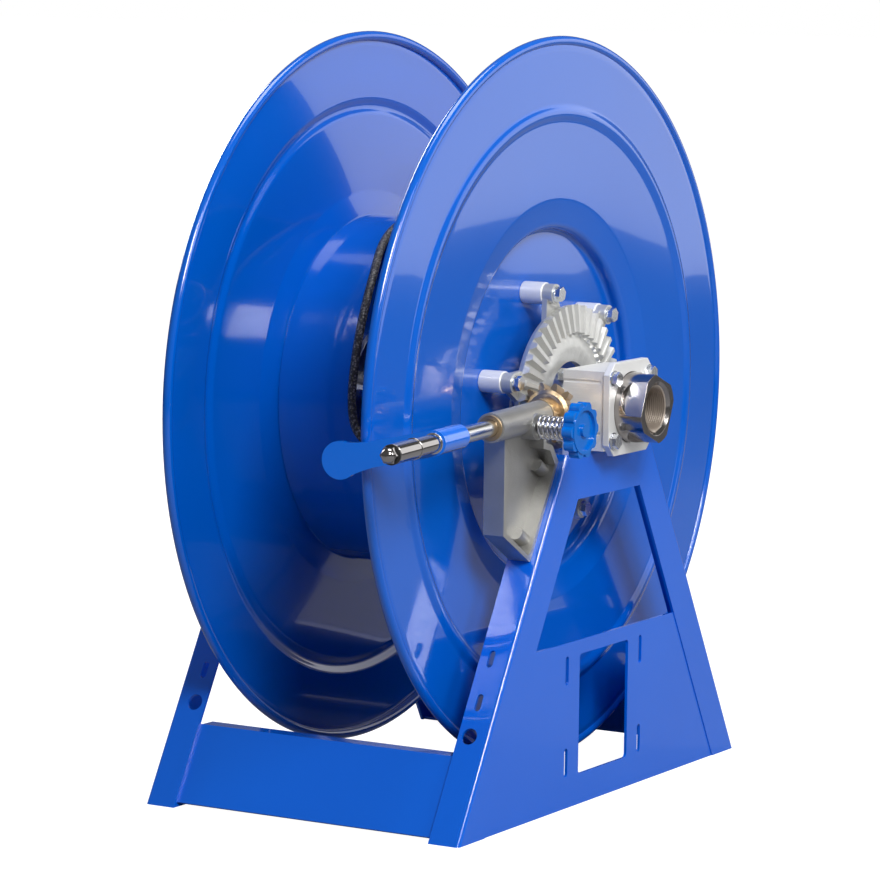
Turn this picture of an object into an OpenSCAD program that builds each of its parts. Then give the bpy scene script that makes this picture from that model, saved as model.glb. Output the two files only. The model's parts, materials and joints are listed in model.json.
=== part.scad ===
// Hand-cranked fire hose reel on a welded base. The reel turns about a level axis along X, a brass
// bevel pinion on the crank shaft drives a ring gear on the reel, and water enters through a swivel
// inlet on the axis. The origin is on the floor under the middle of the base, +Z is up.

/* [Base] */
// Width over the outer faces of the two end frames
frame_w = 350; // [340:1:360]
// Length of the base along the floor
base_l = 568; // [540:2:600]
// Length of the flat top of an end frame
top_l = 172; // [160:2:184]
// Height of the top of an end frame
frame_top = 345; // [340:1:348]
// Depth of a folded leg, across the frame's face
leg_depth = 33; // [30:1:34]
// Width of a leg's face, square to the leg
leg_face = 42; // [36:1:48]
// Thickness of the folded sheet
sheet_t = 3; // [2.5:0.5:4]

/* [Reel] */
// Height of the reel's axis above the floor
axis_h = 385; // [383:1:388]
// Diameter of the two side discs
disc_d = 711; // [640:1:720]
// Place of the inlet-side disc's rim along X
near_rim = 113; // [110:1:116]
// Distance between the rims of the two discs
rim_gap = 220; // [210:1:226]
// Thickness of the pressed disc
disc_t = 2; // [1.6:0.2:3]
// Depth of the pressed pan in the middle of a disc
pan_depth = 20; // [16:1:24]
// Outside radius of the drum that the hose is wound on
drum_r = 173; // [172:0.5:176]

/* [Gears] */
// Teeth on the ring gear
ring_teeth = 45; // [45:3:45]
// Teeth on the pinion
pinion_teeth = 12; // [12:3:12]
// Pitch radius of the ring gear at the outer ends of its teeth
ring_pitch_r = 95.5; // [94:0.5:96]
// Place along X where the crank shaft's axis meets the reel's axis
apex_x = 144.5; // [143.5:0.5:145.5]
// Outward tilt of the crank shaft, which takes the crank clear of the disc's rim
shaft_tilt = 7; // [6:0.5:8]

/* [Crank] */
// Diameter of the crank shaft
shaft_d = 15.9; // [15.9:0.1:16.5]
// Distance between the arm's two round ends
arm_len = 95; // [80:1:120]
// Length of the spinning grip
grip_len = 89; // [80:1:110]

/* [Inlet] */
// Radius of the inlet's threaded bore
inlet_bore_r = 23; // [20:0.5:24]
// Outside radius of the inlet body
inlet_r = 34; // [32:0.5:34]
// Distance across two opposite wrench flats
inlet_flats = 59; // [56:0.5:62]

/* [Hidden] */
$fn = 96;
eps = 0.01;

blue = [0.02, 0.25, 0.78];
cast_grey = [0.76, 0.76, 0.74];
zinc = [0.72, 0.74, 0.77];
brass = [0.80, 0.62, 0.28];
dark = [0.10, 0.10, 0.11];
chrome = [0.82, 0.83, 0.86];

// --- end frames ---
half_w = frame_w / 2;
half_base = base_l / 2;
half_top = top_l / 2;
leg_angle = atan((half_base - half_top) / frame_top);
leg_len = norm([half_base - half_top, frame_top]);
leg_bend = 4;
face_run = leg_face / cos(leg_angle);
crosspiece_drop = 45;
// half length of the leg's outline at a height, outside and inside
function outer_y(z) = half_base - z * tan(leg_angle);
function inner_y(z) = outer_y(z) - face_run;
leg_hole_at = 108;
leg_hole_r = 8;
leg_slot_at = [142, 186];
leg_slot_l = 17;
leg_slot_r = 3.2;
leg_hole_x = 12;
foot_len = 42;
foot_hole_r = 5.5;
foot_hole_in = 24;
foot_hole_x = 15;
side_plate_h = 162;
side_plate_in = 1;
window_off = -3;
window_w = 100;
window_h = 118;
window_z = 30;
window_r = 4;
motor_dx = 150;
motor_dz = 90;
motor_z = 90;
motor_slot_l = 28;
motor_slot_r = 3.2;
cross_plate_l = 81;
cross_plate_at = 7;
cross_plate_gap = 1;
cross_flange = 18;

// --- bearings ---
block_x0 = 145;
block_x1 = 190;
block_half = 42;
block_top = 37;
block_bore_r = 34;
groove_w = 3;
groove_t = 1.5;
recess_t = 4;
recess_r = 39.5;
plate_t = 7;
plate_half_y = 44.5;
plate_half_z = 45;
plate_cut = 11;
bolt_y = 36;
bolt_z = 30;
bolt_r = 4;
hex_r = 7.3;
washer_r = 8.5;
nut_t = 6.5;
base_screw_y = 26;
far_block_half = 38;
far_bore_r = 20;
far_bush_t = 6.9;
axle_r = 12.7;
fit = 0.05;

// --- swivel ---
tube_r = 30;
tube_in_r = 25;
bush_in_r = tube_r + fit;
inlet_front = 226;
flat_from = 203;
flat_cutter_r = 24;
flat_turn = 68;
spigot_r = tube_in_r - fit;
spigot_from = 160;

// --- reel ---
disc_r = disc_d / 2;
far_rim = near_rim - rim_gap;
bead_r = 4.8;
bead_at = disc_r - bead_r;
bead_in = 1.5;
rib_r = 281;
rib_w = 19;
rib_h = 3;
cone_r = 271;
crease_r = 197;
cone_drop = 3;
inner_drop = 4;
pan_r = 169;
pan_bend = 6;
near_web = near_rim - pan_depth;
far_web = far_rim + pan_depth;
drum_t = 2;
drum_lap = 10;
hub_flange_r = 62;
hub_flange_t = 6;
hub_pcd_r = 50;
riser_r = 24;
riser_x = 32;
riser_turn = 145;

// --- gears ---
// both pitch cones share one apex, where the shaft's axis meets the reel's
gear_ratio = pinion_teeth / ring_teeth;
pinion_pitch_r = ring_pitch_r * gear_ratio;
ring_cone = atan2(cos(shaft_tilt), gear_ratio - sin(shaft_tilt));
pinion_cone = 90 + shaft_tilt - ring_cone;
ring_depth = ring_pitch_r / tan(ring_cone);
pinion_depth = pinion_pitch_r / tan(pinion_cone);
cone_dist = norm([ring_pitch_r, ring_depth]);
gear_module = 2 * ring_pitch_r / ring_teeth;
// how far a tooth stands above and below its pitch cone
ring_tooth = [0.55 * gear_module, 1.2 * gear_module];
pinion_tooth = [0.95 * gear_module, 0.8 * gear_module];
tooth_play = 0.6;
pressure = 20;
toe_scale = 0.72;
ear_pcd_r = 112;
ear_turn = 45.5;
ear_r = 9.6;
standoff_r = 10.8;
standoff_to = 118;
ear_t = 5.5;
boss_to = 129;
gear_bolt_r = 4;
gear_bore_r = 40;

// --- gear housing ---
case_x0 = 145;
case_x1 = 167;
case_rim = 5;
case_floor = 7;
boss_r = 14;
boss_from = -233;
boss_to_y = -113;
bush_r = 11;
bush_len = 20;
case_top = -12;
case_left = -194;
case_low = -106;
case_tip = -136;
screw_at = [-57, -119];
brake_y = -152;
brake_z = -6;
brake_boss_x = 179.3;
brake_screw_r = 5;
spring_r = 10.5;
spring_wire = 1.5;
spring_from = 179.5;
spring_turns = 6;
washer_x = 211.8;
knob_x0 = 213.5;
knob_x1 = 229.9;
knob_r = 27;

// --- crank ---
shaft_r = shaft_d / 2;
shaft_inner_end = -58;
key_w = 4.8;
key_from = -105;
shaft_outer_end = -357.8;
arm_y0 = -364;
arm_y1 = -358;
hub_r = 11.6;
hub_y1 = -308;
arm_w = 23.5;
arm_t = arm_y1 - arm_y0;
bulb_r = 17.5;
arm_drop = 12.8;
grip_r = 9.3;
grip_bolt_r = 4;

// --- helpers ---
function unit(v) = v / norm(v);
function side_of(p, i) =
  let (d = unit(p[min(i + 1, len(p) - 1)] - p[max(i - 1, 0)]))
  [-d[1], d[0]];
// outline of a strip of thickness t that follows the points p
function ribbon(p, t) = concat(
  [for (i = [0:len(p) - 1]) p[i] + side_of(p, i) * t / 2],
  [for (i = [len(p) - 1:-1:0]) p[i] - side_of(p, i) * t / 2]
);
function arc(c, r, from, to, n) =
  [for (i = [0:n]) c + r * [cos(from + (to - from) * i / n), sin(from + (to - from) * i / n)]];

// places children on the reel's axis at x, with their own Z along +X
module on_axis(x) {
  translate([x, 0, axis_h]) rotate([0, 90, 0]) children();
}
// places children in the crank shaft's own frame: the shaft lies along -Y from the gears' apex
module in_shaft_frame() {
  translate([apex_x, 0, axis_h]) rotate([0, 0, shaft_tilt]) children();
}
// places children on the crank shaft's axis at y in its own frame, with their own Z along +Y
module on_shaft(y) {
  in_shaft_frame() translate([0, y, 0]) rotate([-90, 0, 0]) children();
}
// places children on the drag brake's axis at x, with their own Z along +X
module on_brake(x) {
  translate([x, brake_y, axis_h + brake_z]) rotate([0, 90, 0]) children();
}
// places children at the housing's two screws, with their own Z along the leg flange's outward normal
module at_screws() {
  for (z = screw_at) translate([case_x0 + case_floor + 3, leg_front_y(z), axis_h + z])
    rotate([90 - leg_angle, 0, 0]) children();
}
// turns children about the reel's axis, 0 is towards +Y and 90 is up
module around_axis(r, turn) {
  translate([0, 0, axis_h]) rotate([turn, 0, 0]) translate([0, r, 0]) children();
}
module tube(r_out, r_in, h) {
  difference() {
    cylinder(r = r_out, h = h);
    translate([0, 0, -1]) cylinder(r = r_in, h = h + 2);
  }
}
// hexagon-headed bolt along +Z: shank from 0 to len, head beyond it
module hex_bolt(r, len, head_r, head_t, washer, washer_t) {
  cylinder(r = r, h = len + eps);
  translate([0, 0, len]) cylinder(r = washer, h = washer_t);
  translate([0, 0, len + washer_t - eps]) cylinder(r = head_r, h = head_t, $fn = 6);
}
module slot2d(l, r) {
  square([2 * r, l - 2 * r], center = true);
  for (s = [-1, 1]) translate([0, s * (l / 2 - r)]) circle(r);
}
module round_rect(w, h, r) {
  square([w - 2 * r, h], center = true);
  square([w, h - 2 * r], center = true);
  for (a = [-1, 1], b = [-1, 1]) translate([a * (w / 2 - r), b * (h / 2 - r)]) circle(r);
}

// --- end frames ---
// L section of a folded sheet: a along +X, b along +Y, rounded outside bend at the origin
module angle_section(a, b, t, bend) {
  difference() {
    union() {
      translate([bend, 0]) square([a - bend, t]);
      translate([0, bend]) square([t, b - bend]);
      intersection() {
        translate([bend, bend]) circle(bend);
        square(bend);
      }
      translate([bend - eps, t - 1]) square([1, 1]);
    }
    translate([bend, bend]) circle(bend - t);
  }
}
// front leg of the end frame on the +X side
module leg() {
  difference() {
    union() {
      intersection() {
        translate([half_w, -half_base, 0]) rotate([-leg_angle, 0, 0])
          translate([0, 0, -60]) rotate([0, 0, 90])
            linear_extrude(leg_len + 120) angle_section(leg_face, leg_depth, sheet_t, leg_bend);
        rotate([90, 0, 90]) linear_extrude(half_w + 10)
          polygon([[-half_base - 20, 0], [-half_base + face_run + 20, 0],
                   [-inner_y(frame_top - crosspiece_drop), frame_top - crosspiece_drop],
                   [-half_top, frame_top], [-half_top - 20, frame_top]]);
      }
      translate([half_w - leg_depth, -half_base + sheet_t, 0])
        cube([leg_depth - sheet_t - eps, foot_len, sheet_t]);
    }
    translate([half_w - leg_depth + leg_hole_x, -half_base, 0]) rotate([-leg_angle, 0, 0]) {
      translate([0, 10, leg_hole_at]) rotate([90, 0, 0]) cylinder(r = leg_hole_r, h = 20);
      for (at = leg_slot_at)
        translate([0, 10, at]) rotate([90, 0, 0])
          linear_extrude(20) slot2d(leg_slot_l, leg_slot_r);
    }
    translate([half_w - foot_hole_x, -half_base + foot_hole_in, -1])
      cylinder(r = foot_hole_r, h = 10);
  }
}
module near_front_leg() {
  color(blue) difference() {
    leg();
    at_screws() translate([0, 0, -6]) cylinder(r = 3.3, h = 12);
  }
}
module near_rear_leg() { color(blue) mirror([0, 1, 0]) leg(); }
module far_front_leg() { color(blue) mirror([1, 0, 0]) leg(); }
module far_rear_leg() { color(blue) mirror([1, 0, 0]) mirror([0, 1, 0]) leg(); }

// folded top of the end frame, mitred to the two legs
module crosspiece(screw_x, screw_y) {
  difference() {
    intersection() {
      translate([half_w, -half_top, frame_top]) rotate([-90, 0, 0]) rotate([0, 0, 90])
        linear_extrude(top_l) angle_section(crosspiece_drop, leg_depth, sheet_t, leg_bend);
      rotate([90, 0, 90]) linear_extrude(half_w + 10)
        polygon([[-half_top, frame_top], [half_top, frame_top],
                 [inner_y(frame_top - crosspiece_drop), frame_top - crosspiece_drop],
                 [-inner_y(frame_top - crosspiece_drop), frame_top - crosspiece_drop]]);
    }
    for (s = [-1, 1])
      translate([screw_x, s * screw_y, frame_top - 10]) cylinder(r = bolt_r + 0.3, h = 20);
  }
}
module near_crosspiece() { color(blue) crosspiece(block_x0 + 12, base_screw_y); }
module far_crosspiece() { color(blue) mirror([1, 0, 0]) crosspiece(block_x0 + 12, base_screw_y); }

// lower plate of the end frame on the crank's side, with its window and four slots for a motor bracket
module near_side_plate() {
  color(blue) translate([half_w - side_plate_in - sheet_t, 0, 0]) rotate([90, 0, 90])
    linear_extrude(sheet_t) difference() {
      polygon([[-inner_y(0), 0], [inner_y(0), 0],
               [inner_y(side_plate_h), side_plate_h], [-inner_y(side_plate_h), side_plate_h]]);
      translate([window_off, window_z + window_h / 2]) round_rect(window_w, window_h, window_r);
      for (sy = [-1, 1], sz = [-1, 1])
        translate([window_off + sy * motor_dx / 2, motor_z + sz * motor_dz / 2])
          slot2d(motor_slot_l, motor_slot_r);
    }
}

// plate between the two front legs, lapped behind their flanges, with a folded top edge
module cross_plate() {
  end_x = half_w - sheet_t - cross_plate_gap;
  translate([-end_x, -half_base, 0]) rotate([-leg_angle, 0, 0])
    translate([0, sheet_t, cross_plate_at]) cube([2 * end_x, sheet_t, cross_plate_l]);
  top_z = (cross_plate_at + cross_plate_l) * cos(leg_angle);
  top_y = -half_base + (cross_plate_at + cross_plate_l) * sin(leg_angle)
          + (sheet_t + 1) * cos(leg_angle);
  translate([-half_w + leg_depth + 1, top_y, top_z - sheet_t - 2])
    cube([frame_w - 2 * leg_depth - 2, cross_flange, sheet_t]);
}
module front_cross_plate() { color(blue) cross_plate(); }
module rear_cross_plate() { color(blue) mirror([0, 1, 0]) cross_plate(); }

// --- bearings ---
module near_bearing_block() {
  color(cast_grey) difference() {
    translate([block_x0, -block_half, frame_top])
      cube([block_x1 - block_x0, 2 * block_half, axis_h - frame_top + block_top]);
    on_axis(block_x0 - 1) cylinder(r = block_bore_r + 1, h = block_x1 - block_x0 + 2);
    on_axis(block_x1 - recess_t) cylinder(r = recess_r, h = recess_t + 1);
    for (sy = [-1, 1], sz = [-1, 1])
      translate([block_x0 - 1, sy * block_half - groove_t, axis_h + sz * (block_top - 12)])
        cube([block_x1 - block_x0 - 3, 2 * groove_t, groove_w]);
    for (sy = [-1, 1], sz = [-1, 1])
      translate([block_x0 - 1, sy * bolt_y, axis_h + sz * bolt_z]) rotate([0, 90, 0])
        cylinder(r = bolt_r + 0.2, h = block_x1 - block_x0 + 2);
    for (s = [-1, 1])
      translate([block_x0 + 12, s * base_screw_y, frame_top - 1]) cylinder(r = bolt_r, h = 7);
  }
}
module clamp_plate() {
  color(cast_grey) difference() {
    translate([block_x1, 0, axis_h]) rotate([90, 0, 90]) linear_extrude(plate_t) difference() {
      polygon([[-plate_half_y, plate_cut - plate_half_z], [plate_cut - plate_half_y, -plate_half_z],
               [plate_half_y - plate_cut, -plate_half_z], [plate_half_y, plate_cut - plate_half_z],
               [plate_half_y, plate_half_z - plate_cut], [plate_half_y - plate_cut, plate_half_z],
               [plate_cut - plate_half_y, plate_half_z], [-plate_half_y, plate_half_z - plate_cut]]);
      circle(inlet_r + 0.3);
    }
    for (sy = [-1, 1], sz = [-1, 1])
      translate([block_x1 - 1, sy * bolt_y, axis_h + sz * bolt_z]) rotate([0, 90, 0])
        cylinder(r = bolt_r + 0.2, h = plate_t + 2);
  }
}
module block_bolts() {
  color(zinc) for (sy = [-1, 1], sz = [-1, 1])
    translate([block_x0 - nut_t, sy * bolt_y, axis_h + sz * bolt_z]) rotate([0, 90, 0])
      hex_bolt(bolt_r, block_x1 + plate_t - block_x0 + nut_t, hex_r, 5.5, washer_r, 1);
}
module block_nuts() {
  color(zinc) for (sy = [-1, 1], sz = [-1, 1])
    translate([block_x0 - nut_t, sy * bolt_y, axis_h + sz * bolt_z]) rotate([0, 90, 0])
      difference() {
        cylinder(r = hex_r, h = nut_t, $fn = 6);
        translate([0, 0, -1]) cylinder(r = bolt_r, h = nut_t + 2);
      }
}
module base_screws(x) {
  color(zinc) for (s = [-1, 1])
    translate([x, s * base_screw_y, frame_top + 6]) rotate([180, 0, 0])
      hex_bolt(bolt_r, 6 + sheet_t, hex_r, 5.5, washer_r, 1);
}
module near_block_screws() { base_screws(block_x0 + 12); }
module far_block_screws() { base_screws(-block_x0 - 12); }
module near_bearing_bush() {
  color(brass) on_axis(block_x0) tube(block_bore_r + 1, bush_in_r, block_x1 - block_x0 - recess_t - 2);
}
module far_bearing_block() {
  color(cast_grey) difference() {
    union() {
      translate([-half_w, -far_block_half, frame_top])
        cube([half_w - block_x0, 2 * far_block_half, 14]);
      translate([-half_w, 0, axis_h]) rotate([0, 90, 0]) cylinder(r = 34, h = half_w - block_x0);
      translate([-half_w, -24, frame_top]) cube([half_w - block_x0, 48, 20]);
    }
    on_axis(-half_w - 1) cylinder(r = far_bore_r, h = half_w - block_x0 + 2);
    for (s = [-1, 1])
      translate([-block_x0 - 12, s * base_screw_y, frame_top - 1]) cylinder(r = bolt_r, h = 7);
  }
}
module far_bearing_bush() {
  color(brass) on_axis(-half_w) tube(far_bore_r, axle_r + fit, half_w - block_x0);
}

// --- swivel inlet ---
module inlet_body() {
  color(chrome) difference() {
    union() {
      on_axis(block_x1 - recess_t + 0.3) cylinder(r = recess_r - 0.5, h = recess_t - 0.6);
      on_axis(block_x1 - recess_t + 0.3) cylinder(r = inlet_r, h = inlet_front - block_x1 + recess_t - 0.3);
      on_axis(spigot_from) cylinder(r = spigot_r, h = block_x1 - spigot_from);
    }
    for (k = [0:3]) translate([0, 0, axis_h]) rotate([flat_turn + 90 * k, 0, 0])
      translate([0, inlet_flats / 2 + 10, 0]) rotate([90, 0, 0]) linear_extrude(10) {
        translate([flat_from + flat_cutter_r, 0]) circle(flat_cutter_r);
        translate([flat_from + flat_cutter_r, -flat_cutter_r]) square(2 * flat_cutter_r);
      }
    on_axis(spigot_from - 1) cylinder(r = 19, h = inlet_front - spigot_from + 2);
    on_axis(block_x1 + 2) cylinder(r = inlet_bore_r, h = 40);
    on_axis(inlet_front - 3) cylinder(r1 = inlet_bore_r - eps, r2 = inlet_bore_r + 3, h = 3 + eps);
    for (x = [166, 176]) on_axis(x) difference() {
      cylinder(r = tube_in_r + 1, h = 4);
      cylinder(r = 22, h = 4);
    }
  }
}
module inlet_seals() {
  color(dark) for (x = [166, 176]) on_axis(x + 0.4) tube(tube_in_r - fit, 22, 3.2);
}

// --- reel ---
// depth of the disc inboard of its rim plane, from the flat rim to the top of the pan
function rib_at(r) = abs(r - rib_r) < rib_w / 2 ? rib_h * (1 + cos(360 * (r - rib_r) / rib_w)) / 2 : 0;
function cone_at(r) = cone_drop * max(0, min(1, (cone_r - r) / (cone_r - crease_r)))
  + inner_drop * max(0, (crease_r - r) / (crease_r - pan_r - pan_bend));
function field_at(r) = cone_at(r) - rib_at(r);
pan_top_r = pan_r + pan_bend;
function disc_line(hole_r) = concat(
  [[bead_at - bead_r - 2, 0], [330, 0], [310, 0]],
  [for (r = [rib_r + rib_w / 2:-rib_w / 12:rib_r - rib_w / 2]) [r, field_at(r)]],
  [for (r = [268, 240, 212, crease_r + 3, crease_r, crease_r - 4, 185]) [r, field_at(r)]],
  arc([pan_top_r, field_at(pan_top_r) + pan_bend], pan_bend, -90, -180, 6),
  arc([pan_r - 5, pan_depth - 5], 5, 0, 90, 6),
  [[140, pan_depth], [hole_r, pan_depth]]
);
// where the sheet's two faces run into the rolled bead, as angles about the bead's middle
bead_from = 180 + asin((bead_in - disc_t / 2) / bead_r);
bead_to = asin((bead_in + disc_t / 2) / bead_r) - 180;
module disc(hole_r) {
  rotate_extrude() polygon(concat(
    ribbon(disc_line(hole_r), disc_t), arc([bead_at, bead_in], bead_r, bead_from, bead_to, 24)));
}
module near_disc() {
  color(blue) difference() {
    translate([near_rim, 0, axis_h]) rotate([0, -90, 0]) disc(tube_r + 0.5);
    for (k = [0:5]) around_axis(ear_pcd_r, ear_turn + 60 * k)
      translate([near_web - 10, 0, 0]) rotate([0, 90, 0]) cylinder(r = gear_bolt_r + 0.2, h = 20);
    for (k = [0:3]) around_axis(hub_pcd_r, 90 * k)
      translate([near_web - 10, 0, 0]) rotate([0, 90, 0]) cylinder(r = gear_bolt_r + 0.2, h = 20);
  }
}
module far_disc() {
  color(blue) difference() {
    translate([far_rim, 0, axis_h]) rotate([0, 90, 0]) disc(axle_r + 0.5);
    for (k = [0:3]) around_axis(hub_pcd_r, 90 * k)
      translate([far_web - 10, 0, 0]) rotate([0, 90, 0]) cylinder(r = gear_bolt_r + 0.2, h = 20);
  }
}
// edge of the drum's slot: place along X, and turn about the axis from -Y upwards
slot_edge = [
  [-15, 5], [-14, -3], [-9, -8], [0, -10.5], [12, -11], [45, -11], [58, -9], [64, -4], [65, 5],
  [65, 25], [65, 45], [65, 65], [65, 88], [64, 98], [58, 106], [48, 111], [34, 113], [10, 112],
  [-12, 108], [-30, 101], [-41, 92], [-46, 82], [-44, 72], [-36, 60], [-28, 52], [-23, 45],
  [-19, 36], [-16, 25], [-15, 15]
];
slot_split = 45;
module drum() {
  color(blue) difference() {
    on_axis(far_rim + drum_lap) tube(drum_r, drum_r - drum_t, rim_gap - 2 * drum_lap);
    translate([0, 0, axis_h]) rotate([90, 0, 0]) linear_extrude(drum_r + 5)
      polygon([for (p = slot_edge) if (p[1] <= slot_split) [p[0], drum_r * sin(p[1])]]);
    translate([0, 0, axis_h]) linear_extrude(drum_r + 5)
      polygon([for (p = slot_edge) if (p[1] >= slot_split) [p[0], -drum_r * cos(p[1])]]);
  }
}
// closed sweep of a round section along points on a cylinder about the reel's axis
trim_r = 4.6;
trim_sides = 8;
trim_pts = [for (p = slot_edge) [p[0], -(drum_r - 1) * cos(p[1]), (drum_r - 1) * sin(p[1])]];
function trim_ring(i) =
  let (n = len(trim_pts), t = unit(trim_pts[(i + 1) % n] - trim_pts[(i + n - 1) % n]),
       out = unit([0, trim_pts[i][1], trim_pts[i][2]]), side = unit(cross(t, out)))
  [for (k = [0:trim_sides - 1])
    let (a = 360 * (k + 0.5) / trim_sides) trim_pts[i] + trim_r * (cos(a) * out + sin(a) * side)];
module slot_trim() {
  n = len(trim_pts);
  m = trim_sides;
  color(dark) translate([0, 0, axis_h]) polyhedron(
    points = [for (i = [0:n - 1]) each trim_ring(i)],
    faces = [for (i = [0:n - 1], k = [0:m - 1]) each
      let (a = i * m + k, b = i * m + (k + 1) % m, c = ((i + 1) % n) * m + (k + 1) % m,
           d = ((i + 1) % n) * m + k) [[a, b, c], [a, c, d]]]
  );
}
module hub_tube() {
  color(zinc) difference() {
    on_axis(riser_x - 34) cylinder(r = tube_r, h = block_x1 - recess_t - 0.3 - riser_x + 34);
    on_axis(riser_x - 30) cylinder(r = tube_in_r, h = 200);
    translate([riser_x, 0, axis_h]) rotate([riser_turn - 90, 0, 0]) cylinder(r = riser_r - 4, h = 60);
  }
}
module hub_flange(hole_r) {
  difference() {
    tube(hub_flange_r, hole_r, hub_flange_t);
    for (k = [0:3]) rotate([0, 0, 90 * k]) translate([hub_pcd_r, 0, -1])
      cylinder(r = gear_bolt_r + 0.2, h = hub_flange_t + 2);
  }
}
module near_hub_flange() {
  color(zinc) on_axis(near_web - disc_t / 2 - hub_flange_t) hub_flange(tube_r);
}
module far_hub_flange() {
  color(zinc) on_axis(far_web + disc_t / 2) hub_flange(axle_r);
}
// hexagon bolts through the disc and the hub flange, heads outboard, nuts inside the drum
module hub_bolt() {
  grip = disc_t + hub_flange_t;
  translate([0, 0, -nut_t]) cylinder(r = hex_r, h = nut_t, $fn = 6);
  translate([0, 0, -eps]) hex_bolt(gear_bolt_r, grip + eps, hex_r, 5.5, washer_r, 1);
}
module near_hub_screws() {
  color(zinc) for (k = [0:3]) around_axis(hub_pcd_r, 90 * k)
    translate([near_web - disc_t / 2 - hub_flange_t, 0, 0]) rotate([0, 90, 0]) hub_bolt();
}
module far_hub_screws() {
  color(zinc) for (k = [0:3]) around_axis(hub_pcd_r, 90 * k)
    translate([far_web + disc_t / 2 + hub_flange_t, 0, 0]) rotate([0, -90, 0]) hub_bolt();
}
module far_axle() {
  color(zinc) on_axis(-half_w - 16) cylinder(r = axle_r, h = half_w + 16 + far_web + 30);
}
module axle_collar() {
  color(zinc) difference() {
    on_axis(-half_w - 13) tube(20, axle_r, 12.5);
    translate([-half_w - 7, 0, axis_h + 13]) cylinder(r = 3, h = 10);
  }
}
module riser() {
  color(zinc) difference() {
    translate([riser_x, 0, axis_h]) rotate([riser_turn - 90, 0, 0]) cylinder(r = riser_r, h = 128);
    translate([riser_x, 0, axis_h]) rotate([riser_turn - 90, 0, 0]) translate([0, 0, 10])
      cylinder(r = riser_r - 4, h = 130);
    on_axis(0) cylinder(r = tube_r, h = 100);
  }
}
module outlet_coupling() {
  color(brass) translate([riser_x, 0, axis_h]) rotate([riser_turn - 90, 0, 0]) translate([0, 0, 112])
    difference() {
      union() {
        cylinder(r = 31, h = 16, $fn = 6);
        translate([0, 0, 16 - eps]) cylinder(r = 26, h = 20);
      }
      translate([0, 0, -1]) cylinder(r = riser_r, h = 17 + eps);
      translate([0, 0, 16]) cylinder(r = 21.5, h = 30);
    }
}

// --- bevel gears ---
// The two gears share one apex, at the origin here; a gear's own axis is Z and it lies below the apex.
// own: its pitch radius, deep: its depth below the apex, tooth: its addendum and dedendum.
function involute(a) = tan(a) * 180 / PI - a;
function tooth_half_angle(r, rv) =
  let (t = PI * gear_module / 2 - tooth_play, rb = rv * cos(pressure), a = acos(min(1, rb / r)))
  t / 2 / rv * 180 / PI + involute(pressure) - involute(a);
flank_steps = 4;
// points of one tooth's section, as [across, outwards] about the pitch point, root first
function tooth_section(own, deep, tooth) =
  let (rv = own * cone_dist / deep,
       lo = rv - tooth[1] - 0.4,
       radii = [for (i = [0:flank_steps]) rv - tooth[1] + (tooth[1] + tooth[0]) * i / flank_steps],
       right = concat([[lo * sin(tooth_half_angle(radii[0], rv)), lo - rv]],
         [for (r = radii) [r * sin(tooth_half_angle(r, rv)), r * cos(tooth_half_angle(r, rv)) - rv]]))
  concat(right, [for (i = [len(right) - 1:-1:0]) [-right[i][0], right[i][1]]]);
module bevel_tooth(own, deep, tooth) {
  sec = tooth_section(own, deep, tooth);
  n = len(sec);
  a = cone_dist;
  heel = [for (p = sec) [own + p[1] * deep / a, p[0], -deep + p[1] * own / a]];
  polyhedron(
    points = concat(heel, heel * toe_scale),
    faces = concat([[for (i = [n - 1:-1:0]) i]], [[for (i = [0:n - 1]) n + i]],
      [for (i = [0:n - 1]) [i, (i + 1) % n, n + (i + 1) % n, n + i]])
  );
}
// root cone's outer end, as [radius, height]
function root_heel(own, deep, tooth) =
  [own - tooth[1] * deep / cone_dist, -deep - tooth[1] * own / cone_dist];
// turn of the ring gear's first tooth, which puts a tooth on the side that meets the pinion
ring_first = 180 - ear_turn;
module ring_gear_shape() {
  heel = root_heel(ring_pitch_r, ring_depth, ring_tooth);
  toe = heel * toe_scale;
  back = standoff_to - apex_x;
  difference() {
    union() {
      rotate_extrude() polygon([[gear_bore_r, back + 5], [56, back + 3], [62, back], [90, back], heel,
        toe, toe - [2, 3], [54, back + 13], [gear_bore_r, back + 11]]);
      for (k = [0:ring_teeth - 1]) rotate([0, 0, ring_first + 360 * k / ring_teeth])
        bevel_tooth(ring_pitch_r, ring_depth, ring_tooth);
      for (k = [0:5]) rotate([0, 0, 60 * k]) {
        translate([0, 0, back]) linear_extrude(ear_t)
          polygon([[84, -17], [84, 17], [ear_pcd_r, ear_r - 1], [ear_pcd_r, 1 - ear_r]]);
        translate([ear_pcd_r, 0, back]) cylinder(r = ear_r, h = boss_to - standoff_to);
      }
    }
    for (k = [0:5]) rotate([0, 0, 60 * k])
      translate([ear_pcd_r, 0, back - 1]) cylinder(r = gear_bolt_r + 0.2, h = 20);
  }
}
module ring_gear() {
  color(cast_grey) translate([apex_x, 0, axis_h]) rotate([ear_turn, 0, 0]) rotate([0, 90, 0])
    rotate([0, 0, 90]) ring_gear_shape();
}
module gear_standoffs() {
  color(chrome) for (k = [0:5]) around_axis(ear_pcd_r, ear_turn + 60 * k)
    translate([near_web + disc_t / 2, 0, 0]) rotate([0, 90, 0])
      tube(standoff_r, gear_bolt_r + 0.2, standoff_to - near_web - disc_t / 2);
}
module gear_bolts() {
  from = near_web - disc_t / 2 - nut_t;
  color(zinc) for (k = [0:5]) around_axis(ear_pcd_r, ear_turn + 60 * k)
    translate([from, 0, 0]) rotate([0, 90, 0])
      hex_bolt(gear_bolt_r, boss_to - from, hex_r, 5.5, 8, 1.5);
}
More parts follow.
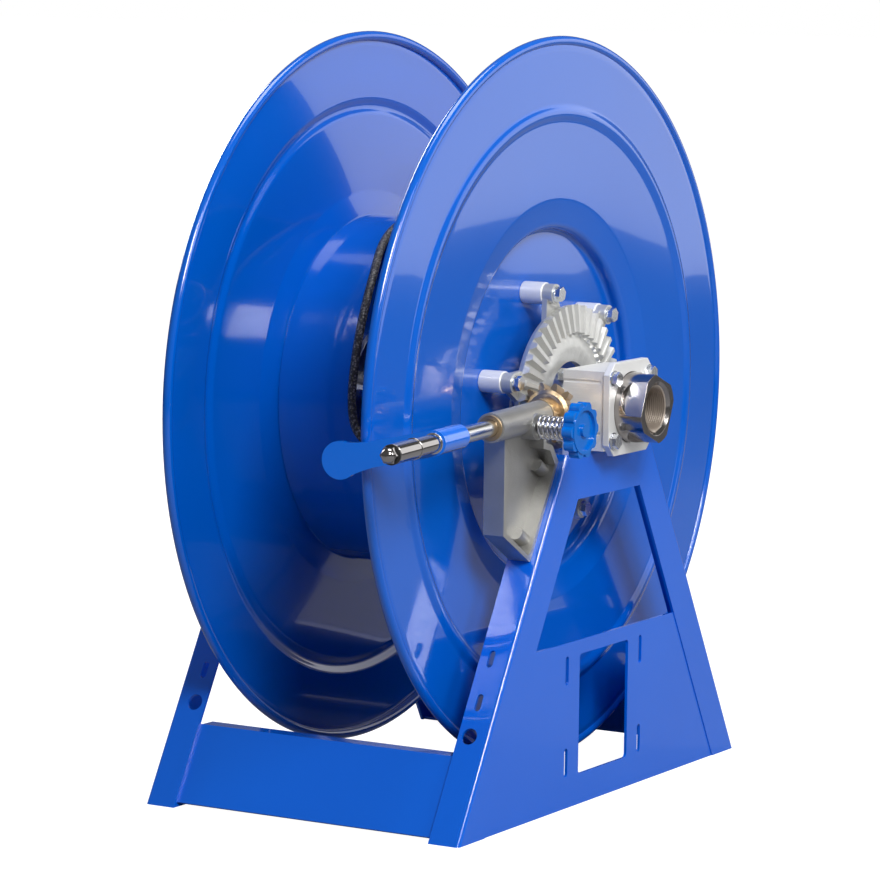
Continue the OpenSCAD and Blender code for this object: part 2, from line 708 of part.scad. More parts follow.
module gear_nuts() {
  color(zinc) for (k = [0:5]) around_axis(ear_pcd_r, ear_turn + 60 * k)
    translate([near_web - disc_t / 2 - nut_t, 0, 0]) rotate([0, 90, 0]) difference() {
      cylinder(r = hex_r, h = nut_t, $fn = 6);
      translate([0, 0, -1]) cylinder(r = gear_bolt_r, h = nut_t + 2);
    }
}
pinion_back = boss_to_y + 2.2;
module pinion() {
  heel = root_heel(pinion_pitch_r, pinion_depth, pinion_tooth);
  toe = heel * toe_scale;
  color(brass) on_shaft(0) difference() {
    union() {
      rotate_extrude() polygon([[0, pinion_back], [15, pinion_back], [15, heel[1] - 3],
        [heel[0] - 3, heel[1] - 3], heel, toe, [toe[0] - 2, toe[1] + 2], [0, toe[1] + 2]]);
      for (k = [0:pinion_teeth - 1]) rotate([0, 0, 180 + 360 * (k + 0.5) / pinion_teeth])
        bevel_tooth(pinion_pitch_r, pinion_depth, pinion_tooth);
    }
    translate([0, 0, -200]) cylinder(r = shaft_r, h = 300);
    translate([-key_w / 2, 0, -200]) cube([key_w, shaft_r + key_w / 2, 300]);
  }
}
module pinion_key() {
  color(zinc) in_shaft_frame() translate([-key_w / 2, key_from, -shaft_r - key_w / 2])
    cube([key_w, 34, key_w]);
}
module thrust_washer() {
  color(brass) on_shaft(boss_to_y + 0.1) tube(15, shaft_r + fit, 2);
}

// --- gear housing ---
function leg_front_y(z) = -outer_y(z + axis_h);
shaft_at_brake = apex_x - brake_y * tan(shaft_tilt);
case_outline = [
  [case_left, case_top], [case_left, case_low], [leg_front_y(case_tip) - 3, case_tip],
  [leg_front_y(case_tip), case_tip], [leg_front_y(-46), -46], [-102, -29], [-114, -26],
  [-114, case_top]
];
pocket_outline = [
  [case_left + case_rim, case_top - 4], [case_left + case_rim, case_low + 3],
  [leg_front_y(case_tip) - 5, case_tip + 6], [leg_front_y(case_tip + 9) - case_rim, case_tip + 9],
  [leg_front_y(-46) - case_rim - 1, -49], [-106, -34], [-119, -31], [-119, case_top - 4]
];
module gear_housing() {
  color(cast_grey) difference() {
    union() {
      difference() {
        translate([case_x0, 0, axis_h]) rotate([90, 0, 90]) linear_extrude(case_x1 - case_x0)
          polygon(case_outline);
        translate([case_x0 + case_floor, 0, axis_h]) rotate([90, 0, 90]) linear_extrude(40)
          polygon(pocket_outline);
      }
      on_shaft(boss_from) cylinder(r = boss_r, h = boss_to_y - boss_from);
      on_brake(shaft_at_brake) cylinder(r = 12.5, h = brake_boss_x - shaft_at_brake);
      at_screws() cylinder(r = 6.5, h = 20);
    }
    on_shaft(boss_from - 1) cylinder(r = bush_r, h = boss_to_y - boss_from + 2);
    on_brake(shaft_at_brake) cylinder(r = 7.2, h = 13);
    on_brake(shaft_at_brake) cylinder(r = brake_screw_r + 0.3, h = 40);
    at_screws() translate([0, 0, -10]) cylinder(r = 3, h = 24);
  }
}
module housing_bolts() {
  color(zinc) at_screws() translate([0, 0, 14]) rotate([180, 0, 0])
    hex_bolt(3, 14 + sheet_t, 6, 4, 7, 1);
}
module front_bush() {
  color(brass) {
    on_shaft(boss_from - 1.2) tube(12, shaft_r + fit, 1.2 + eps);
    on_shaft(boss_from) tube(bush_r, shaft_r + fit, bush_len);
  }
}
module rear_bush() {
  color(brass) on_shaft(boss_to_y - bush_len) tube(bush_r, shaft_r + fit, bush_len);
}

// --- drag brake ---
module brake_plug() {
  color(dark) on_brake(shaft_at_brake + shaft_r + 1.2) cylinder(r = 6.8, h = 3);
}
module brake_screw() {
  color(zinc) on_brake(shaft_at_brake + shaft_r + 9) cylinder(r = brake_screw_r,
    h = knob_x0 + 8 - shaft_at_brake - shaft_r - 9);
}
spring_steps = 14;
spring_sides = 8;
spring_len = washer_x - spring_from - 2 * spring_wire;
spring_n = spring_turns * spring_steps;
function spring_ring(i) =
  let (a = 360 * i / spring_steps, at = spring_wire + spring_len * i / spring_n)
  [for (k = [0:spring_sides - 1])
    let (b = 360 * k / spring_sides, r = spring_r + spring_wire * cos(b))
    [r * cos(a), r * sin(a), at + spring_wire * sin(b)]];
module brake_spring() {
  m = spring_sides;
  color(chrome) on_brake(spring_from) polyhedron(
    points = [for (i = [0:spring_n]) each spring_ring(i)],
    faces = concat([[for (k = [0:m - 1]) k]], [[for (k = [m - 1:-1:0]) spring_n * m + k]],
      [for (i = [0:spring_n - 1], k = [0:m - 1]) each
        let (a = i * m + k, b = i * m + (k + 1) % m, c = a + m, d = b + m) [[a, c, b], [b, c, d]]])
  );
}
module brake_washer() {
  color(zinc) on_brake(washer_x) tube(13, brake_screw_r + 0.05, 1.6);
}
knob_lobes = 10;
module brake_knob() {
  color(blue) on_brake(knob_x0) difference() {
    union() {
      cylinder(r = 11, h = 8);
      translate([0, 0, 4]) cylinder(r = knob_r - 4.5, h = knob_x1 - knob_x0 - 4);
      for (k = [0:knob_lobes - 1]) rotate([0, 0, 360 * (k + 0.5) / knob_lobes])
        translate([knob_r - 5.5, 0, 5]) cylinder(r = 5.5, h = knob_x1 - knob_x0 - 6, $fn = 40);
    }
    translate([0, 0, knob_x1 - knob_x0 - 3]) tube(knob_r - 8, 6, 10);
    translate([0, 0, -1]) cylinder(r = brake_screw_r, h = 9);
  }
}

// --- crank ---
module crank_shaft() {
  color(chrome) difference() {
    on_shaft(shaft_outer_end) cylinder(r = shaft_r, h = shaft_inner_end - shaft_outer_end);
    in_shaft_frame() {
      translate([-key_w / 2, key_from, -shaft_r - key_w / 2]) cube([key_w, 34, key_w]);
      translate([shaft_r - key_w / 2, shaft_outer_end - 1, -key_w / 2]) cube([key_w, 60, key_w]);
    }
  }
}
module crank_key() {
  color(zinc) in_shaft_frame() translate([shaft_r - key_w / 2, shaft_outer_end, -key_w / 2])
    cube([3.4, 52, key_w]);
}
module crank_hub() {
  color(blue) difference() {
    on_shaft(arm_y1) tube(hub_r, shaft_r, hub_y1 - arm_y1);
    in_shaft_frame() translate([shaft_r - 3, arm_y1 - 1, -key_w / 2])
      cube([4, hub_y1 - arm_y1 + 2, key_w]);
  }
}
module crank_arm() {
  color(blue) in_shaft_frame() translate([0, arm_y1, 0]) rotate([90, 0, 0])
    rotate([0, 0, 180 + arm_drop]) difference() {
      union() {
        cylinder(r = arm_w / 2, h = arm_t);
        linear_extrude(arm_t) polygon([
          [0, -arm_w / 2], [arm_len - 32, -arm_w / 2], [arm_len - 22, -arm_w / 2 - 1],
          [arm_len - 9, -bulb_r * 0.86], [arm_len - 9, bulb_r * 0.86],
          [arm_len - 22, arm_w / 2 + 1], [arm_len - 32, arm_w / 2], [0, arm_w / 2]]);
        translate([arm_len, 0, 0]) cylinder(r = bulb_r, h = arm_t);
      }
      translate([0, 0, -1]) cylinder(r = grip_bolt_r, h = arm_t + 2);
    }
}
grip_from = arm_y0 - 2;
grip_end = grip_from - grip_len;
module grip_bolt() {
  color(zinc) {
    on_shaft(grip_end - 8) cylinder(r = grip_bolt_r, h = arm_y1 - grip_end + 8);
    on_shaft(arm_y0 - 1.8) tube(grip_r + 0.4, grip_bolt_r, 1.8);
  }
}
module grip_sleeve() {
  color(chrome) on_shaft(grip_end) difference() {
    union() {
      cylinder(r = grip_r, h = grip_len / 2);
      cylinder(r = grip_r - 0.8, h = grip_len);
    }
    translate([0, 0, -1]) cylinder(r = grip_bolt_r + fit, h = grip_len + 2);
  }
}
module grip_collar() {
  color(chrome) on_shaft(grip_end + grip_len / 2) tube(grip_r + 0.6, grip_r - 0.8, 3);
}
module grip_washer() {
  color(dark) on_shaft(grip_end - 2.2) tube(grip_r, grip_bolt_r, 2);
}
module grip_cap_nut() {
  color(chrome) on_shaft(grip_end - 2.2) mirror([0, 0, 1]) difference() {
    union() {
      cylinder(r = 8.2, h = 6, $fn = 6);
      cylinder(r = 6.6, h = 7);
      translate([0, 0, 4.6]) intersection() {
        sphere(r = 7);
        cylinder(r = 7, h = 8);
      }
    }
    translate([0, 0, -1]) cylinder(r = grip_bolt_r, h = 6.8);
  }
}

near_front_leg();
near_rear_leg();
far_front_leg();
far_rear_leg();
near_crosspiece();
far_crosspiece();
near_side_plate();
front_cross_plate();
rear_cross_plate();
near_bearing_block();
clamp_plate();
block_bolts();
block_nuts();
near_block_screws();
near_bearing_bush();
far_bearing_block();
far_block_screws();
far_bearing_bush();
inlet_body();
inlet_seals();
near_disc();
far_disc();
drum();
slot_trim();
hub_tube();
near_hub_flange();
near_hub_screws();
far_hub_flange();
far_hub_screws();
far_axle();
axle_collar();
riser();
outlet_coupling();
ring_gear();
gear_standoffs();
gear_bolts();
gear_nuts();
gear_housing();
housing_bolts();
front_bush();
rear_bush();
brake_plug();
brake_screw();
brake_spring();
brake_washer();
brake_knob();
pinion();
pinion_key();
thrust_washer();
crank_shaft();
crank_hub();
crank_key();
crank_arm();
grip_bolt();
grip_sleeve();
grip_collar();
grip_washer();
grip_cap_nut();
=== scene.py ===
import bpy, bmesh, json
from math import sin, cos, pi, radians
from mathutils import Matrix, Vector


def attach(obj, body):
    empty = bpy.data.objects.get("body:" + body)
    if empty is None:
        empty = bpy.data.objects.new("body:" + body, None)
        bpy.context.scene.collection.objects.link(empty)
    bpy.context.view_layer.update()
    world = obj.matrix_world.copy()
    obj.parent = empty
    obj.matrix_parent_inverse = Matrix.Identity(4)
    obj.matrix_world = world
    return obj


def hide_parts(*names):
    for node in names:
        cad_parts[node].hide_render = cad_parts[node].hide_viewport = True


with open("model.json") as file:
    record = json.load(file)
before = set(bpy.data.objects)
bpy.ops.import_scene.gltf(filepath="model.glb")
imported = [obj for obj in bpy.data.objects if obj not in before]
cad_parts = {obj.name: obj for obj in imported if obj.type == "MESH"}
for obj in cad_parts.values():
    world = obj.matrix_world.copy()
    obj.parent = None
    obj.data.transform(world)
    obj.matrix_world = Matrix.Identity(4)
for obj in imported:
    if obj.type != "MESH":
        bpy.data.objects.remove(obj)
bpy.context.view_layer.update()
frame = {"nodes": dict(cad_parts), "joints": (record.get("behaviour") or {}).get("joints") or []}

# ---------------------------------------------------------------- studio
# The camera stands to the front right of the reel, a little above its middle, and looks slightly down.
# Large soft boxes light it. The floor and the room are plain white to the camera, and darker to every
# other ray, so they light the reel less than they appear to.
eye = Vector((2.0247, -3.4762, 0.8321))
turn, dip, roll = radians(30.425), radians(7.0), radians(0.694)
ahead = Vector((-sin(turn) * cos(dip), cos(turn) * cos(dip), -sin(dip)))
level = Vector((cos(turn), sin(turn), 0))
upright = level.cross(ahead)
right = cos(roll) * level + sin(roll) * upright
up = cos(roll) * upright - sin(roll) * level
camera = bpy.data.objects.new("camera", bpy.data.cameras.new("camera"))
camera.matrix_world = Matrix((
    (right.x, up.x, -ahead.x, eye.x),
    (right.y, up.y, -ahead.y, eye.y),
    (right.z, up.z, -ahead.z, eye.z),
    (0, 0, 0, 1)))
camera.data.sensor_width = 36
camera.data.lens = 166.96
camera.data.clip_end = 100
bpy.context.scene.collection.objects.link(camera)
bpy.context.scene.camera = camera


def new_object(name, bm):
    """Makes a shown object from a bmesh and frees it."""
    mesh = bpy.data.meshes.new(name)
    bm.to_mesh(mesh)
    bm.free()
    obj = bpy.data.objects.new(name, mesh)
    bpy.context.scene.collection.objects.link(obj)
    return obj


def node_material(name):
    """Gives a new material, its shader, and short ways to add a node and a link."""
    mat = bpy.data.materials.new(name)
    mat.use_nodes = True
    tree = mat.node_tree
    shader = tree.nodes["Principled BSDF"]
    place = tree.nodes.new("ShaderNodeTexCoord").outputs["Object"]

    def add(kind, **values):
        node = tree.nodes.new(kind)
        for key, value in values.items():
            setattr(node, key, value)
        return node
    return mat, shader, place, add, tree.links.new


bm = bmesh.new()
bmesh.ops.create_grid(bm, x_segments=1, y_segments=1, size=30)
floor = new_object("floor", bm)
floor_mat, shader, _, add, link = node_material("floor_paper")
shader.inputs["Base Color"].default_value = (0.26, 0.26, 0.27, 1)
shader.inputs["Roughness"].default_value = 0.8
shader.inputs["Specular IOR Level"].default_value = 0.2
shader.inputs["Emission Color"].default_value = (1, 1, 1, 1)
link(add("ShaderNodeLightPath").outputs["Is Camera Ray"], shader.inputs["Emission Strength"])
floor.data.materials.append(floor_mat)

world = bpy.data.worlds.new("studio")
bpy.context.scene.world = world
world.use_nodes = True
walls = world.node_tree.nodes["Background"]
walls.inputs["Color"].default_value = (1, 1, 1, 1)
ray_kind = world.node_tree.nodes.new("ShaderNodeLightPath")
wall_strength = world.node_tree.nodes.new("ShaderNodeMapRange")
wall_strength.inputs["To Min"].default_value = 0.13
wall_strength.inputs["To Max"].default_value = 1.0
world.node_tree.links.new(ray_kind.outputs["Is Camera Ray"], wall_strength.inputs["Value"])
world.node_tree.links.new(wall_strength.outputs["Result"], walls.inputs["Strength"])
bpy.context.scene.view_settings.view_transform = "Standard"


def soft_box(name, place, target, width, height, power):
    """A rectangular area light at place, turned to face target."""
    lamp = bpy.data.lights.new(name, "AREA")
    lamp.shape = "RECTANGLE"
    lamp.size, lamp.size_y, lamp.energy = width, height, power
    obj = bpy.data.objects.new(name, lamp)
    obj.location = place
    obj.rotation_euler = (Vector(target) - Vector(place)).to_track_quat("-Z", "Y").to_euler()
    bpy.context.scene.collection.objects.link(obj)


soft_box("key_box", (3.0, -2.5, 3.1), (0, 0, 0.4), 1.4, 1.4, 175)
soft_box("side_panel", (1.5, 1.9, 0.95), (0, 0, 0.6), 2.2, 1.3, 11)
soft_box("right_box", (3.4, -0.2, 2.0), (0, 0, 0.35), 1.0, 1.4, 30)
soft_box("top_box", (0.3, 0.3, 3.2), (0, 0, 0.3), 1.6, 1.6, 40)
soft_box("left_box", (-3.2, 1.3, 1.8), (0, 0, 0.4), 1.4, 1.8, 95)

# ---------------------------------------------------------------- end frames
# Two A-frames of 3 mm steel sheet: folded legs and a folded top piece, welded together, with a plate
# across the front and the back and a flat lower plate on the crank's side. Powder coated in gloss blue.


def welded_copy(node):
    """Gives a bmesh of a CAD node with its doubled corners merged."""
    bm = bmesh.new()
    bm.from_mesh(frame["nodes"][node].data)
    bmesh.ops.remove_doubles(bm, verts=bm.verts, dist=2e-6)
    return bm


def soften(node, body, material, width, angle=32, steps=2):
    """Copies a CAD node, rounds its edges by width and shows it in the node's place."""
    bm = welded_copy(node)
    bmesh.ops.dissolve_limit(bm, angle_limit=radians(0.25), verts=bm.verts, edges=bm.edges)
    obj = new_object(node + "_made", bm)
    edge = obj.modifiers.new("rounded_edges", "BEVEL")
    edge.width = width
    edge.segments = steps
    edge.limit_method = "ANGLE"
    edge.angle_limit = radians(angle)
    edge.use_clamp_overlap = True
    dress(obj, body, material, angle, node)


def dress(obj, body, material, angle=32, node=None):
    """Gives a finished piece its shading, material and body. Edges 10 degrees past angle stay
    sharp, and the piece replaces node if one is given."""
    obj.data.shade_smooth()
    obj.data.set_sharp_from_angle(angle=radians(angle + 10))
    flats = obj.modifiers.new("flat_faces", "WEIGHTED_NORMAL")
    flats.keep_sharp = True
    obj.data.materials.append(material)
    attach(obj, body)
    if node:
        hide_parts(node)


def powder_coat(name, colour, shade, peel):
    """Gloss paint: two close blues in soft patches, a clear top and faint orange peel."""
    mat, shader, place, add, link = node_material(name)
    patches = add("ShaderNodeTexNoise")
    patches.inputs["Scale"].default_value = 6
    patches.inputs["Detail"].default_value = 3
    link(place, patches.inputs["Vector"])
    mix = add("ShaderNodeMix", data_type="RGBA")
    mix.inputs["A"].default_value = (*colour, 1)
    mix.inputs["B"].default_value = (*shade, 1)
    link(patches.outputs["Fac"], mix.inputs["Factor"])
    link(mix.outputs["Result"], shader.inputs["Base Color"])
    skin = add("ShaderNodeTexNoise")
    skin.inputs["Scale"].default_value = 260
    skin.inputs["Detail"].default_value = 2
    link(place, skin.inputs["Vector"])
    bump = add("ShaderNodeBump")
    bump.inputs["Strength"].default_value = peel
    bump.inputs["Distance"].default_value = 0.0004
    link(skin.outputs["Fac"], bump.inputs["Height"])
    link(bump.outputs["Normal"], shader.inputs["Normal"])
    shader.inputs["Roughness"].default_value = 0.14
    shader.inputs["Specular IOR Level"].default_value = 0.4
    shader.inputs["Coat Weight"].default_value = 0.8
    shader.inputs["Coat Roughness"].default_value = 0.03
    return mat


frame_paint = powder_coat("frame_paint", (0.0, 0.135, 0.76), (0.0, 0.115, 0.68), 0.05)
for node in ("near_front_leg", "near_rear_leg", "far_front_leg", "far_rear_leg",
             "near_crosspiece", "far_crosspiece", "near_side_plate",
             "front_cross_plate", "rear_cross_plate"):
    soften(node, "frame", frame_paint, 0.0006)

# ---------------------------------------------------------------- bearing blocks
# A sawn aluminium block carries the hub tube, with a clamp plate bolted over its face. A cast pillow
# block carries the far axle. Zinc-plated hexagon bolts hold them.


def bare_metal(name, colour, shade, rough, grain, depth, stretch=(1, 1, 1), tilt=(0, 0, 0),
               metallic=1.0):
    """Two close tones, roughness that varies, and a fine grain that may be stretched. Metallic at 0
    makes the same thing serve for rubber and linings."""
    mat, shader, place, add, link = node_material(name)
    way = add("ShaderNodeMapping")
    way.inputs["Scale"].default_value = stretch
    way.inputs["Rotation"].default_value = tilt
    link(place, way.inputs["Vector"])
    fine = add("ShaderNodeTexNoise")
    fine.inputs["Scale"].default_value = grain
    fine.inputs["Detail"].default_value = 4
    link(way.outputs["Vector"], fine.inputs["Vector"])
    cloud = add("ShaderNodeTexNoise")
    cloud.inputs["Scale"].default_value = 45
    link(place, cloud.inputs["Vector"])
    mix = add("ShaderNodeMix", data_type="RGBA")
    mix.inputs["A"].default_value = (*colour, 1)
    mix.inputs["B"].default_value = (*shade, 1)
    link(cloud.outputs["Fac"], mix.inputs["Factor"])
    link(mix.outputs["Result"], shader.inputs["Base Color"])
    span = add("ShaderNodeMapRange")
    span.inputs["To Min"].default_value = rough * 0.8
    span.inputs["To Max"].default_value = rough * 1.25
    link(fine.outputs["Fac"], span.inputs["Value"])
    link(span.outputs["Result"], shader.inputs["Roughness"])
    bump = add("ShaderNodeBump")
    bump.inputs["Strength"].default_value = depth
    bump.inputs["Distance"].default_value = 0.0005
    link(fine.outputs["Fac"], bump.inputs["Height"])
    link(bump.outputs["Normal"], shader.inputs["Normal"])
    shader.inputs["Metallic"].default_value = metallic
    return mat


block_aluminium = bare_metal("block_aluminium", (0.86, 0.86, 0.85), (0.76, 0.76, 0.75), 0.42, 260,
                             0.25, stretch=(0.2, 1, 3), metallic=0.35)
zinc_plate = bare_metal("zinc_plate", (0.82, 0.84, 0.87), (0.70, 0.73, 0.78), 0.25, 500, 0.08)
bronze = bare_metal("bronze", (0.56, 0.42, 0.26), (0.45, 0.33, 0.20), 0.38, 600, 0.12)
soften("near_bearing_block", "frame", block_aluminium, 0.0007)
soften("clamp_plate", "frame", block_aluminium, 0.0006)
soften("far_bearing_block", "frame", block_aluminium, 0.0015)
for node in ("block_bolts", "block_nuts", "near_block_screws", "far_block_screws"):
    soften(node, "frame", zinc_plate, 0.0004)
for node in ("near_bearing_bush", "far_bearing_bush"):
    soften(node, "frame", bronze, 0.0004)

# ---------------------------------------------------------------- swivel inlet
# A turned and nickel-plated brass body with four milled wrench flats and a pipe thread inside. Its
# spigot runs in the hub tube on two rubber rings.
nickel_plate = bare_metal("nickel_plate", (0.42, 0.395, 0.38), (0.30, 0.28, 0.27), 0.17, 90, 0.10,
                          stretch=(25, 1, 1))
soften("inlet_body", "inlet", nickel_plate, 0.0005)
axis_h = frame["joints"][0]["pos_m"][2]
pitch, root_r, crest_r = 0.00221, 0.0229, 0.0216
thread_from, thread_turns, steps_a_turn = 0.1925, 13.5, 72
bm = bmesh.new()
line = [bm.verts.new((thread_from + x, 0, axis_h + r)) for x, r in
        ((0, root_r), (pitch * 0.12, root_r), (pitch * 0.5, crest_r), (pitch * 0.62, crest_r),
         (pitch, root_r))]
edges = [bm.edges.new(pair) for pair in zip(line, line[1:])]
bmesh.ops.spin(bm, geom=line + edges, cent=(0, 0, axis_h), axis=(1, 0, 0),
               dvec=(pitch / steps_a_turn, 0, 0), angle=2 * pi * thread_turns,
               steps=int(steps_a_turn * thread_turns), use_merge=False)
bmesh.ops.remove_doubles(bm, verts=bm.verts, dist=1e-5)
bmesh.ops.recalc_face_normals(bm, faces=bm.faces)
thread = new_object("inlet_thread", bm)
thread_metal = bare_metal("cut_thread", (0.60, 0.52, 0.44), (0.46, 0.39, 0.33), 0.30, 400, 0.05,
                          metallic=0.7)
dress(thread, "inlet", thread_metal)

seal_rubber = bare_metal("seal_rubber", (0.02, 0.02, 0.02), (0.03, 0.03, 0.03), 0.5, 400, 0.1,
                         metallic=0.0)
soften("inlet_seals", "inlet", seal_rubber, 0.0006)

# ---------------------------------------------------------------- discs
# Two discs spun from 2 mm steel sheet: a rolled rim, a raised rib, a shallow crease and a deep pan
# in the middle. Powder coated in gloss blue.
reel_paint = powder_coat("reel_paint", (0.0, 0.118, 0.61), (0.0, 0.098, 0.54), 0.04)
disc_r, rib_r, rib_w, rib_h = 0.3555, 0.281, 0.019, 0.003
cone_r, cone_deep, step_deep = 0.271, 0.003, 0.004
crease_r, pan_r, pan_bend, pan_deep, pan_corner = 0.197, 0.169, 0.006, 0.020, 0.005
bead_r, bead_in, bead_sides = 0.0048, 0.0015, 20


def disc_depth(r):
    """Depth of the sheet inboard of the rim's plane at radius r, outside the pan."""
    cone = cone_deep * max(0, min(1, (cone_r - r) / (cone_r - crease_r)))
    inner = step_deep * max(0, (crease_r - r) / (crease_r - pan_r - pan_bend))
    rib = rib_h * (1 + cos(2 * pi * (r - rib_r) / rib_w)) / 2 if abs(r - rib_r) < rib_w / 2 else 0
    return cone + inner - rib


def turned(name, bm, line, closed=False):
    """Turns a profile, open or closed, once about the reel's axis and shows it."""
    ends = line[1:] + line[:1] if closed else line[1:]
    edges = [bm.edges.new(pair) for pair in zip(line, ends)]
    bmesh.ops.spin(bm, geom=line + edges, cent=(0, 0, axis_h), axis=(1, 0, 0), angle=2 * pi,
                   steps=192, use_merge=True)
    bmesh.ops.recalc_face_normals(bm, faces=bm.faces)
    return new_object(name, bm)


def spun_disc(name, node, rim_x, inward, hole_r):
    """Spins one disc about the reel's axis; inward is the sign of its pan along X."""
    radii = [0.3475, 0.340, 0.330, 0.310]
    radii += [rib_r + rib_w * (0.5 - i / 16) for i in range(17)]
    radii += [0.268, 0.254, 0.240, 0.226, 0.212, 0.202, 0.1985, crease_r, 0.1955, 0.192, 0.185, 0.179]
    points = [(r, disc_depth(r)) for r in radii]
    top = disc_depth(pan_r + pan_bend)
    points += [(pan_r + pan_bend - pan_bend * sin(a), top + pan_bend * (1 - cos(a)))
               for a in (i * pi / 12 for i in range(7))]
    points += [(pan_r - pan_corner + pan_corner * cos(a), pan_deep - pan_corner + pan_corner * sin(a))
               for a in (i * pi / 12 for i in range(7))]
    points += [(0.140, pan_deep), (0.100, pan_deep), (0.060, pan_deep), (hole_r, pan_deep)]
    bm = bmesh.new()
    sheet = turned(name, bm, [bm.verts.new((rim_x + inward * d, 0, axis_h + r)) for r, d in points])
    wall = sheet.modifiers.new("sheet_thickness", "SOLIDIFY")
    wall.thickness = 0.002
    wall.offset = 0
    dress(sheet, "reel", reel_paint, 32, node)
    bm = bmesh.new()
    rim_x, rim_z = rim_x + inward * bead_in, axis_h + disc_r - bead_r
    ring = [bm.verts.new((rim_x + bead_r * sin(a), 0, rim_z + bead_r * cos(a)))
            for a in (2 * pi * i / bead_sides for i in range(bead_sides))]
    dress(turned(name + "_rim", bm, ring, closed=True), "reel", reel_paint)


spun_disc("near_disc_sheet", "near_disc", rim_x=0.113, inward=-1, hole_r=0.0305)
spun_disc("far_disc_sheet", "far_disc", rim_x=-0.107, inward=1, hole_r=0.0132)

# ---------------------------------------------------------------- drum
# A rolled sheet drum, welded between the discs, with a long slot that lets the hose end in. The
# slot's edge is covered with a pressed-on black rubber trim.
soften("drum", "reel", reel_paint, 0.0004)
trim_rubber, shader, place, add, link = node_material("trim_rubber")
pebbles = add("ShaderNodeTexVoronoi")
pebbles.inputs["Scale"].default_value = 420
link(place, pebbles.inputs["Vector"])
tone = add("ShaderNodeValToRGB")
tone.color_ramp.elements[0].color = (0.34, 0.32, 0.31, 1)
tone.color_ramp.elements[1].color = (0.030, 0.029, 0.028, 1)
tone.color_ramp.elements[1].position = 0.55
link(pebbles.outputs["Distance"], tone.inputs["Fac"])
link(tone.outputs["Color"], shader.inputs["Base Color"])
bump = add("ShaderNodeBump")
bump.inputs["Strength"].default_value = 0.8
bump.inputs["Distance"].default_value = 0.0008
link(pebbles.outputs["Distance"], bump.inputs["Height"])
link(bump.outputs["Normal"], shader.inputs["Normal"])
shader.inputs["Roughness"].default_value = 0.42


def smooth_sweep(node, body, material, levels):
    """Copies a CAD node that is a coarse swept tube, squares its faces and subdivides it smooth."""
    bm = welded_copy(node)
    bmesh.ops.join_triangles(bm, faces=bm.faces, angle_face_threshold=radians(60),
                             angle_shape_threshold=radians(60))
    obj = new_object(node + "_made", bm)
    round_off = obj.modifiers.new("smooth", "SUBSURF")
    round_off.levels = levels
    round_off.render_levels = levels
    obj.data.shade_smooth()
    obj.data.materials.append(material)
    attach(obj, body)
    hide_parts(node)


smooth_sweep("slot_trim", "reel", trim_rubber, 2)

# ---------------------------------------------------------------- hub, axle and riser
# Plated pipe and flanges inside the drum carry the water from the inlet to the hose. The far axle is
# a bright bar with a set collar.
plated_pipe = bare_metal("plated_pipe", (0.66, 0.67, 0.69), (0.55, 0.56, 0.58), 0.32, 220, 0.15)
shaft_steel = bare_metal("shaft_steel", (0.80, 0.80, 0.80), (0.72, 0.72, 0.72), 0.16, 60, 0.10,
                         stretch=(30, 1, 30), tilt=(0, 0, radians(-7)))
brass = bare_metal("brass", (0.70, 0.54, 0.34), (0.58, 0.42, 0.25), 0.34, 700, 0.08)
for node in ("hub_tube", "near_hub_flange", "far_hub_flange", "riser"):
    soften(node, "reel", plated_pipe, 0.0006)
for node in ("near_hub_screws", "far_hub_screws"):
    soften(node, "reel", zinc_plate, 0.0004)
soften("far_axle", "reel", shaft_steel, 0.0010)
soften("axle_collar", "reel", zinc_plate, 0.0006)
soften("outlet_coupling", "reel", brass, 0.0008)

# ---------------------------------------------------------------- ring gear
# A cast aluminium bevel gear with machined teeth stands off the disc on six turned aluminium
# spacers. Long zinc-plated bolts go through its six ears.
ring_aluminium = bare_metal("ring_aluminium", (0.70, 0.70, 0.68), (0.56, 0.56, 0.54), 0.40, 420, 0.25,
                            metallic=0.6)
turned_aluminium = bare_metal("standoff_aluminium", (0.88, 0.88, 0.90), (0.82, 0.82, 0.85), 0.34,
                              120, 0.10, stretch=(12, 1, 1), metallic=0.25)
soften("ring_gear", "reel", ring_aluminium, 0.0005, angle=25)
soften("gear_standoffs", "reel", turned_aluminium, 0.0006)
for node in ("gear_bolts", "gear_nuts"):
    soften(node, "reel", zinc_plate, 0.0004)

# ---------------------------------------------------------------- gear housing
# A sand-cast aluminium pan bolted to the front leg. A tube along its top holds two bronze bushes for
# the crank shaft, and a boss on the tube holds the drag brake.
sand_cast = bare_metal("cast_aluminium", (0.50, 0.495, 0.475), (0.38, 0.375, 0.36), 0.44, 520, 0.55,
                       metallic=0.85)
soften("gear_housing", "frame", sand_cast, 0.0012, steps=3)
soften("housing_bolts", "frame", zinc_plate, 0.0004)
for node in ("front_bush", "rear_bush"):
    soften(node, "frame", bronze, 0.0004)

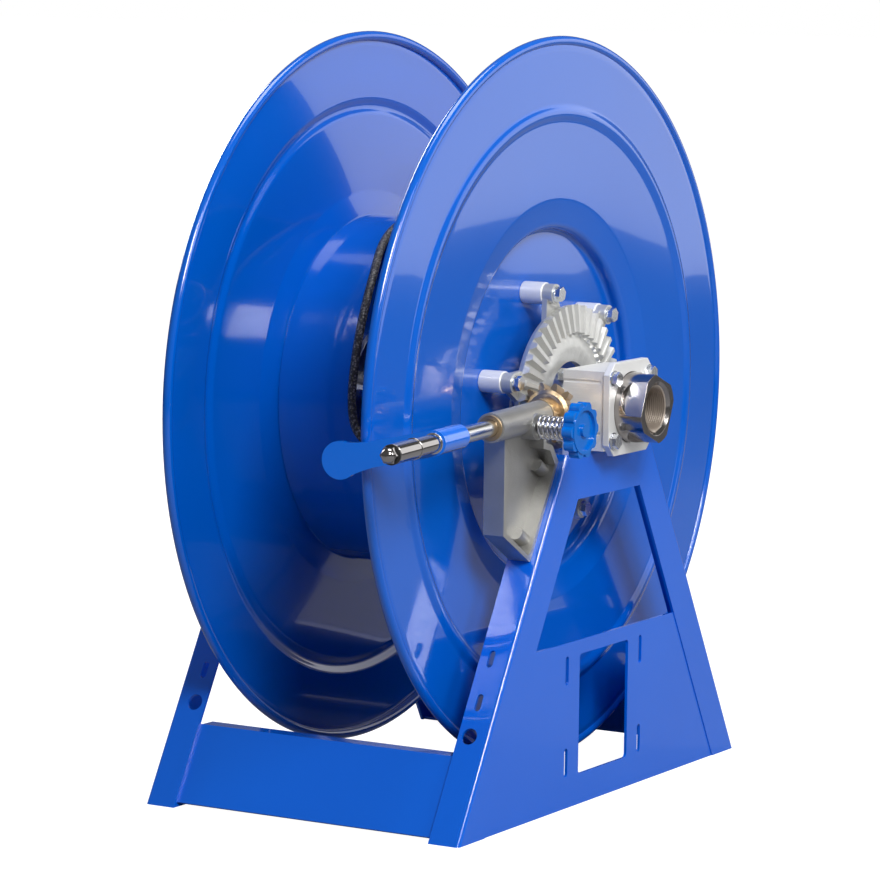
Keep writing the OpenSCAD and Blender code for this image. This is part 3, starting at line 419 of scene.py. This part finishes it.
# ---------------------------------------------------------------- drag brake
# A screw with a scalloped blue knob presses a lining plug on the shaft. A bright steel spring under
# the knob keeps it where it is set. The spring is rigid here, so the knob cuts into it when screwed in.
grip_chrome = bare_metal("grip_chrome", (0.46, 0.44, 0.43), (0.38, 0.36, 0.35), 0.08, 200, 0.02)
spring_steel = bare_metal("spring_steel", (0.78, 0.77, 0.75), (0.66, 0.65, 0.63), 0.16, 500, 0.05)
brake_lining = bare_metal("brake_lining", (0.10, 0.08, 0.07), (0.07, 0.06, 0.05), 0.7, 500, 0.3,
                          metallic=0.0)
knob_paint = powder_coat("knob_paint", (0.0, 0.16, 0.64), (0.0, 0.14, 0.56), 0.10)
smooth_sweep("brake_spring", "frame", spring_steel, 1)
soften("brake_plug", "frame", brake_lining, 0.0004)
soften("brake_washer", "brake_slider", zinc_plate, 0.0003)
soften("brake_screw", "brake_knob", zinc_plate, 0.0004)
soften("brake_knob", "brake_knob", knob_paint, 0.0012, steps=3)

# ---------------------------------------------------------------- crank
# A brass bevel pinion keyed on a bright steel shaft, which leans outwards so that the crank clears
# the disc. The hub and flat arm are welded and painted, and a chromed two-part grip turns on a bolt.
crank_paint = powder_coat("crank_paint", (0.0, 0.17, 0.84), (0.0, 0.15, 0.76), 0.05)
black_washer = bare_metal("black_washer", (0.015, 0.015, 0.015), (0.03, 0.03, 0.03), 0.4, 400, 0.1,
                          metallic=0.0)
soften("pinion", "crank", brass, 0.0003, angle=25)
soften("thrust_washer", "crank", bronze, 0.0003)
soften("crank_shaft", "crank", shaft_steel, 0.0005)
soften("crank_hub", "crank", crank_paint, 0.0006)
soften("crank_arm", "crank", crank_paint, 0.0008)
for node in ("pinion_key", "crank_key", "grip_bolt"):
    soften(node, "crank", zinc_plate, 0.0003)
soften("grip_washer", "crank", black_washer, 0.0003)
soften("grip_cap_nut", "crank", grip_chrome, 0.0004)
soften("grip_sleeve", "grip", grip_chrome, 0.0008)
soften("grip_collar", "grip", grip_chrome, 0.0005)
